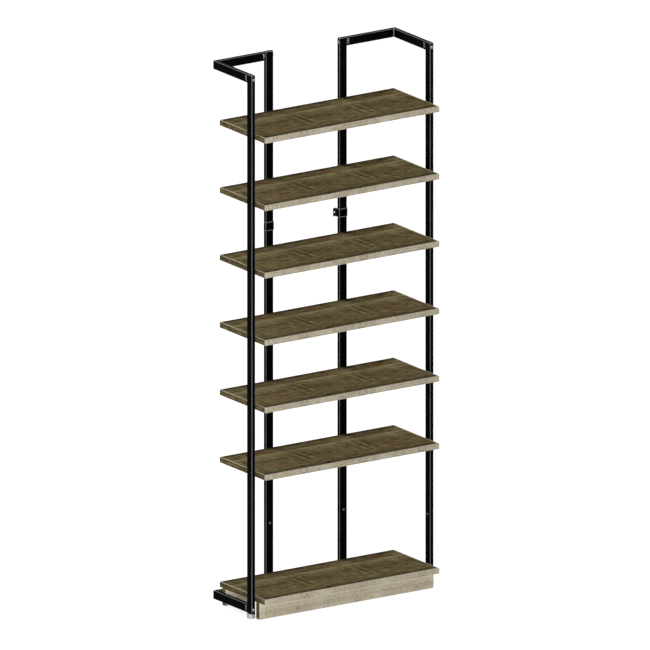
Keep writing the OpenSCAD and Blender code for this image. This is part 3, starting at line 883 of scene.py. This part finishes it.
def rivet_nut_tree():
    """Rivet nut: its origin is on the outer face of the flange, and Z points out of the post."""
    widths = ["Flange", "Rivet", "Collar", "Rivet bore"]
    depths = ["Flange thickness", "Collar start", "Rivet length"]
    w, given, finish = shape_tree("rivet_nut", widths + depths)
    flange, body, collar, bore = (given[label] * 0.5 for label in widths)
    under, wall, end = (-given[label] for label in depths)
    ease = 0.25 * MM
    chamfer = 0.3 * MM
    bulge = wall - 2 * MM
    profile = [
        (bore + chamfer, 0.0), (flange - ease, 0.0), (flange, -ease), (flange, under), (body, under),
        (body, wall), (collar, wall), (collar, bulge + ease), (collar - ease, bulge), (body, bulge),
        (body, end + ease), (body - ease, end), (bore, end), (bore, -chamfer), (bore + chamfer, 0.0),
    ]
    return set_out(w, given, finish, turned(w, profile[::-1], given["Segments"]))


def foot_tree():
    """Levelling foot: its origin is on the floor, with a blind hole for the stud in its top."""
    w, given, finish = shape_tree("foot", ["Diameter", "Height", "Foot edge", "Hole", "Floor"])
    radius, hole = given["Diameter"] * 0.5, given["Hole"] * 0.5
    edge, top, floor = given["Foot edge"], given["Height"], given["Floor"]
    ease = 0.6 * MM
    profile = [(0.0, 0.0), (radius - edge, 0.0)]
    for step in range(1, 6):
        turn = step * math.pi / 10
        profile.append((radius - edge * (1.0 - math.sin(turn)), edge * (1.0 - math.cos(turn))))
    profile += [
        (radius, top - ease), (radius - ease, top), (hole + ease, top), (hole, top - ease),
        (hole, floor), (0.0, floor),
    ]
    return set_out(w, given, finish, turned(w, profile, given["Segments"]))


def set_pieces(name, tree, places, material, slot, node, **sizes):
    """Runs a tree on places, pairs of point and axis, and keeps its result as a plain mesh.

    An input of the tree that isn't among the sizes takes the setting of the same name.
    """
    mesh = bpy.data.meshes.new(name + "_places")
    mesh.from_pydata([point for point, _ in places], [], [])
    axes = mesh.attributes.new("axis", "FLOAT_VECTOR", "POINT")
    axes.data.foreach_set("vector", [part for _, axis in places for part in axis])
    carrier = new_object(name + "_carrier", mesh)
    modifier = carrier.modifiers.new(name, "NODES")
    modifier.node_group = tree
    settings = bpy.context.scene.shelving_fixings
    sizes["material"] = bpy.data.materials[material]
    for item in tree.interface.items_tree:
        if item.socket_type != SHAPE:
            key = item.name.lower().replace(" ", "_")
            modifier[item.identifier] = sizes[key] if key in sizes else getattr(settings, key)
    graph = bpy.context.evaluated_depsgraph_get()
    made = bpy.data.meshes.new_from_object(carrier.evaluated_get(graph))
    carrier.modifiers.clear()
    bpy.data.objects.remove(carrier)
    if not made.polygons:
        raise RuntimeError(f"{name} came out empty")
    made.name = name
    shade_by_angle(made)
    finished_piece(name, made, material, node)


# Places that the frame gives


def middle_of(node):
    low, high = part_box(node)
    return (low + high) / 2


def on_posts(levels, front_axis, rear_axis):
    """Places on the posts of both sides, at some heights, each on the face that looks along its axis."""
    places = []
    for level in levels:
        for post, axis in (("post_front_right", front_axis), ("post_rear_right", rear_axis)):
            low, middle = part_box(post)[0], middle_of(post)
            point = (low.x, middle.y, level) if axis == INWARD else (middle.x, low.y, level)
            places.append((Vector(point), axis))
    flip = Vector((-1.0, 1.0, 1.0))
    return places + [(point * flip, axis * flip) for point, axis in places]


def spare_level():
    """Height of the rivet nuts that no shelf uses."""
    mounts = {mount["name"]: mount for mount in RECORD["mounts"]}
    return mounts["spare_level_front_left"]["pos_m"][2]


def unit_of_boards():
    """Corners of the shelves with their bands."""
    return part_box("front_band_1")[0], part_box("edge_bands_7")[1]


# Operators


class SHELVING_OT_studio(bpy.types.Operator):
    """Makes the camera, the floor, the world and the lamps"""

    bl_idname = "shelving.studio"
    bl_label = "Studio"

    def execute(self, context):
        studio = context.scene.shelving_studio
        add_camera(context.scene, studio)
        add_floor(studio)
        add_world(context.scene, studio)
        add_lamps(studio)
        context.scene.view_settings.view_transform = "Standard"
        return {"FINISHED"}


def direction(turn, rise):
    """Direction out of the unit, turned from the front and raised from the horizon."""
    return Vector((math.sin(turn) * math.cos(rise), -math.cos(turn) * math.cos(rise), math.sin(rise)))


def placed_object(name, data, location, toward):
    """Object at a location that looks against the direction toward."""
    item = new_object(name, data)
    item.location = location
    item.rotation_mode = "QUATERNION"
    item.rotation_quaternion = (-toward).to_track_quat("-Z", "Y")
    return item


def add_camera(scene, studio):
    """Camera of a parallel projection, turned so that the unit's origin falls on its pixel."""
    back = direction(studio.azimuth, studio.elevation)
    right = Vector((math.cos(studio.azimuth), math.sin(studio.azimuth), 0.0))
    up = back.cross(right)
    middle = (studio.picture - 1) / 2
    aside = (middle - studio.origin_x) / studio.scale
    above = (studio.origin_y - middle) / studio.scale
    data = bpy.data.cameras.new("camera")
    data.type = "ORTHO"
    data.ortho_scale = studio.picture / studio.scale
    data.clip_end = 100.0
    location = right * aside + up * above + back * studio.distance
    scene.camera = placed_object("camera", data, location, back)


def seen_directly(w):
    """One for what the camera sees, also in a mirror or through glass."""
    path = w.all_of(w.add("ShaderNodeLightPath"))
    rays = path["Is Camera Ray"] + path["Is Glossy Ray"] + path["Is Transmission Ray"]
    return w.math("MINIMUM", rays, 1.0)


def add_floor(studio):
    """Pale floor that looks white and keeps a soft shadow of the unit."""
    half = studio.floor_side / 2
    mesh = bpy.data.meshes.new("floor")
    corners = [(-half, -half, 0.0), (half, -half, 0.0), (half, half, 0.0), (-half, half, 0.0)]
    mesh.from_pydata(corners, [], [(0, 1, 2, 3)])
    floor = new_object("floor", mesh)
    w, _ = new_material("floor")
    thrown = w.get("ShaderNodeBsdfDiffuse", {"Color": linear(studio.floor)})
    shown = w.get("ShaderNodeBsdfDiffuse", {"Color": (*(studio.floor_shown,) * 3, 1.0)})
    glow = w.get("ShaderNodeEmission", {"Color": (1.0,) * 4, "Strength": studio.floor_glow})
    white = w.get("ShaderNodeAddShader", {0: shown, 1: glow})
    surface = w.get("ShaderNodeMixShader", {0: seen_directly(w), 1: thrown, 2: white})
    w.add("ShaderNodeOutputMaterial", {"Surface": surface})
    paint(floor, "floor")


def add_world(scene, studio):
    """White backdrop for the camera, and the even light of a soft studio for all else."""
    world = bpy.data.worlds.new("studio")
    world.use_nodes = True
    world.node_tree.nodes.clear()
    w = Wiring(world.node_tree)
    strength = w.step(seen_directly(w), 0.0, 1.0, studio.world, 1.0)
    light = w.get("ShaderNodeBackground", {"Color": (1.0,) * 4, "Strength": strength})
    w.add("ShaderNodeOutputWorld", {"Surface": light})
    scene.world = world


def add_lamps(studio):
    """Three large soft lamps: one low in front, and two that shine down between the shelves."""
    low = add_lamp(studio, "low_lamp", turn=-30, rise=8, size=(6.0, 2.0))
    # The low lamp also fills what lies behind the rails and under the shelves
    low.use_shadow = False
    add_lamp(studio, "front_lamp", turn=-10, rise=36, size=(6.0, 6.0))
    add_lamp(studio, "back_lamp", turn=-155, rise=36, size=(6.0, 6.0))


def add_lamp(studio, name, turn, rise, size):
    """Lamp in the direction of two angles in degrees. Its strength is the setting with its name."""
    toward = direction(math.radians(turn), math.radians(rise))
    away = studio.lamp_distance
    data = bpy.data.lights.new(name, "AREA")
    data.shape = "RECTANGLE"
    data.size, data.size_y = size
    # A lamp of this power lights a surface that faces it as an even world of that strength would
    data.energy = 4.0 * math.pi * away**2 * getattr(studio, name)
    placed_object(name, data, Vector((0.0, 0.0, studio.lamp_aim)) + toward * away, toward)
    return data


class SHELVING_OT_finishes(bpy.types.Operator):
    """Builds the shader groups and the materials of every piece"""

    bl_idname = "shelving.finishes"
    bl_label = "Finishes"

    def execute(self, context):
        scene = context.scene
        oak, steel, plastic = scene.shelving_oak, scene.shelving_steel, scene.shelving_plastic
        wood_grain_group()
        fleck_group()
        decor_offset_group()
        knot_group()
        edge_highlight_group()
        fine_skin_group()
        low, high = unit_of_boards()
        weathered_oak(oak, "weathered_oak", 1.0, low, high)
        # Painted shade: a darker copy for the open shelves, which get more light
        weathered_oak(oak, "open_shelf_oak", oak.open_lift, low, high)
        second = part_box("shelf_2")[0]
        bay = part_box("shelf_3")[0].z - second.z
        # Painted light: brighter copies of the fronts' oak for the base band and the plinth boards, which
        # lie in more shade
        for name, lift, height_shading in (
            ("washed_oak", 1.0, 0.0),
            ("base_oak", oak.base_lift, 0.0),
            ("plinth_oak", oak.plinth_lift, oak.plinth_wear),
            ("rear_plinth_oak", oak.rear_plinth_lift, oak.plinth_wear),
        ):
            washed_oak(oak, name, lift, height_shading, low, second, bay)
        brown_oak(oak, low, high)
        beech_wood(oak)
        powder_coat("powder_coat", steel, rail_weld_highlight)
        powder_coat("strap_coat", steel, strap_cut_highlight)
        bare_metal("bright_zinc", steel.zinc, steel.zinc_roughness, 0.7)
        bare_metal("dull_zinc", steel.nut, steel.zinc_roughness + 0.1, 0.9, steel.nut_rim)
        bare_metal("cast_metal", steel.cast, steel.zinc_roughness + 0.15, 1.4)
        moulded("black_plastic", plastic.cap, plastic.cap_rim, plastic.texture, 0.42, 0.02)
        moulded("grey_plastic", plastic.foot, plastic.foot_rim, plastic.texture, 0.40, 0.3)
        return {"FINISHED"}


class SHELVING_OT_tube_frames(bpy.types.Operator):
    """Coats the posts and the rails"""

    bl_idname = "shelving.tube_frames"
    bl_label = "Tube Frames"

    def execute(self, context):
        for node in NODES:
            if node.startswith(("post_front", "post_rear", "rail_")):
                dress(node, "powder_coat")
        return {"FINISHED"}


class SHELVING_OT_wall_brackets(bpy.types.Operator):
    """Makes the bent straps with slightly round edges"""

    bl_idname = "shelving.wall_brackets"
    bl_label = "Wall Brackets"

    def execute(self, context):
        radius = context.scene.shelving_fixings.strap_easing

        def level(edge):
            """Edges round the strap's upper and lower side."""
            a, b = edge.verts
            return abs(a.co.z - b.co.z) < NEAR

        for side in SIDES:
            node = f"wall_bracket_{side}"
            eased_copy(node, f"wall_strap_{side}", "strap_coat", radius, level)
        return {"FINISHED"}


class SHELVING_OT_boards(bpy.types.Operator):
    """Gives the shelves and plinth boards their oak"""

    bl_idname = "shelving.boards"
    bl_label = "Boards"

    def execute(self, context):
        for n in SHELVES:
            dress(f"shelf_{n}", "open_shelf_oak" if n in OPEN_SHELVES else "weathered_oak")
        dress("plinth_front", "plinth_oak")
        dress("plinth_back", "rear_plinth_oak")
        return {"FINISHED"}


class SHELVING_OT_bands(bpy.types.Operator):
    """Makes the bands on the edges of the shelves and the plinth, round on their outer edges"""

    bl_idname = "shelving.bands"
    bl_label = "Bands"

    def execute(self, context):
        radius = context.scene.shelving_fixings.band_easing
        low, high = unit_of_boards()
        longer_than_bores = 5 * MM

        def straight(edge):
            """Long edges on the outside of the board, and not the rim of a bore."""
            a, b = edge.verts
            middle = (a.co + b.co) / 2
            gaps = (abs(abs(middle.x) - high.x), abs(middle.y - low.y), abs(middle.y - high.y))
            return edge.calc_length() >= longer_than_bores and min(gaps) < NEAR

        def outer(edge):
            """Edges on the outer side of the plinth's end bands."""
            a, b = edge.verts
            return abs(abs((a.co.x + b.co.x) / 2) - high.x) < NEAR

        for n in SHELVES:
            pale = "base_oak" if n == 1 else "washed_oak"
            eased_copy(f"front_band_{n}", f"front_edge_{n}", pale, radius, straight)
            eased_copy(f"edge_bands_{n}", f"side_edges_{n}", "brown_oak", radius, straight)
        eased_copy("plinth_end_bands", "plinth_end_edges", "brown_oak", radius, outer)
        return {"FINISHED"}


class SHELVING_OT_post_caps(bpy.types.Operator):
    """Makes the caps on the posts, with a round upper edge, and finishes the inserts in their feet"""

    bl_idname = "shelving.post_caps"
    bl_label = "Post Caps"

    def execute(self, context):
        radius = context.scene.shelving_fixings.cap_easing
        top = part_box("post_caps")[1].z

        def upper(edge):
            return all(abs(v.co.z - top) < NEAR for v in edge.verts)

        eased_copy("post_caps", "rounded_caps", "black_plastic", radius, upper)
        dress("foot_inserts", "black_plastic")
        return {"FINISHED"}


class SHELVING_OT_cross_nuts(bpy.types.Operator):
    """Makes the blocks that lie in the windows of the rails, with broken edges"""

    bl_idname = "shelving.cross_nuts"
    bl_label = "Cross Nuts"

    def execute(self, context):
        radius = context.scene.shelving_fixings.nut_easing
        longer_than_threads = 3 * MM

        def straight(edge):
            return edge.calc_length() > longer_than_threads

        eased_copy("cross_nuts", "cross_blocks", "dull_zinc", radius, straight)
        return {"FINISHED"}


class SHELVING_OT_frame_bolts(bpy.types.Operator):
    """Sets the eight domed bolts that hold the rails to the posts"""

    bl_idname = "shelving.frame_bolts"
    bl_label = "Frame Bolts"

    def execute(self, context):
        levels = [middle_of(f"rail_side_{level}_right").z for level in ("bottom", "top")]
        places = on_posts(levels, FORWARD, INWARD)
        set_pieces("domed_bolts", frame_bolt_tree(), places, "bright_zinc", "zinc_steel", "frame_bolts")
        return {"FINISHED"}


class SHELVING_OT_shelf_fixings(bpy.types.Operator):
    """Sets the rivet nuts in the posts, and finishes the cams and bolts that hold the shelves"""

    bl_idname = "shelving.shelf_fixings"
    bl_label = "Shelf Fixings"

    def execute(self, context):
        levels = [middle_of(f"shelf_{n}").z for n in SHELVES]
        places = on_posts(levels + [spare_level()], INWARD, FORWARD)
        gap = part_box("post_front_right")[0].x - unit_of_boards()[1].x
        outer = [(point + axis * gap, axis) for point, axis in places]
        set_pieces(
            "rivet_nut_set", rivet_nut_tree(), outer, "bright_zinc", "zinc_steel", "rivet_nuts",
            flange_thickness=gap, collar_start=gap + context.scene.shelving_fixings.tube_wall,
        )
        dress("cams", "cast_metal")
        dress("connecting_bolts", "bright_zinc")
        return {"FINISHED"}


class SHELVING_OT_plinth_fixings(bpy.types.Operator):
    """Finishes the plinth's dowels, angle brackets and screws"""

    bl_idname = "shelving.plinth_fixings"
    bl_label = "Plinth Fixings"

    def execute(self, context):
        dress("plinth_dowels", "beech_wood")
        dress("plinth_angles", "bright_zinc")
        dress("plinth_screws", "bright_zinc")
        return {"FINISHED"}


class SHELVING_OT_feet(bpy.types.Operator):
    """Turns the four levelling feet, each on its own body"""

    bl_idname = "shelving.feet"
    bl_label = "Feet"

    def execute(self, context):
        made = foot_tree()
        for place in PLACES:
            foot, stud = f"foot_{place}", f"stud_{place}"
            low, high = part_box(foot)
            stud_low, stud_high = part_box(stud)
            middle = middle_of(foot)
            set_pieces(
                f"level_foot_{place}", made, [(Vector((middle.x, middle.y, low.z)), Vector((0, 0, 1)))],
                "grey_plastic", "foot_grey", foot, diameter=high.x - low.x, height=high.z - low.z,
                hole=stud_high.x - stud_low.x, floor=stud_low.z - low.z,
                segments=2 * context.scene.shelving_fixings.segments,
            )
            dress(stud, "bright_zinc")
        return {"FINISHED"}


class SHELVING_PT_panel(bpy.types.Panel):
    """Lists the pieces of the shelving unit"""

    bl_idname = "SHELVING_PT_panel"
    bl_label = "Open Shelving Unit"
    bl_space_type = "VIEW_3D"
    bl_region_type = "UI"
    bl_category = "Shelving"

    def draw(self, context):
        for name in STEPS:
            self.layout.operator(f"shelving.{name}")
        for name in SETTINGS:
            box = self.layout.box()
            settings = getattr(context.scene, name)
            for key in settings.bl_rna.properties.keys():
                if key not in ("rna_type", "name"):
                    box.prop(settings, key)


OPERATORS = (
    SHELVING_OT_studio,
    SHELVING_OT_finishes,
    SHELVING_OT_tube_frames,
    SHELVING_OT_wall_brackets,
    SHELVING_OT_boards,
    SHELVING_OT_bands,
    SHELVING_OT_post_caps,
    SHELVING_OT_cross_nuts,
    SHELVING_OT_frame_bolts,
    SHELVING_OT_shelf_fixings,
    SHELVING_OT_plinth_fixings,
    SHELVING_OT_feet,
)
STEPS = [operator.bl_idname.split(".")[1] for operator in OPERATORS]
SETTINGS = {
    "shelving_oak": OakSettings,
    "shelving_steel": SteelSettings,
    "shelving_plastic": PlasticSettings,
    "shelving_fixings": FixingSettings,
    "shelving_studio": StudioSettings,
}


def register():
    for name, settings in SETTINGS.items():
        bpy.utils.register_class(settings)
        setattr(bpy.types.Scene, name, PointerProperty(type=settings))
    for item in (*OPERATORS, SHELVING_PT_panel):
        bpy.utils.register_class(item)


def unregister():
    for item in (SHELVING_PT_panel, *reversed(OPERATORS)):
        bpy.utils.unregister_class(item)
    for name, settings in reversed(SETTINGS.items()):
        delattr(bpy.types.Scene, name)
        bpy.utils.unregister_class(settings)


def main():
    register()
    for name in STEPS:
        getattr(bpy.ops.shelving, name)()


if __name__ == "__main__":
    main()
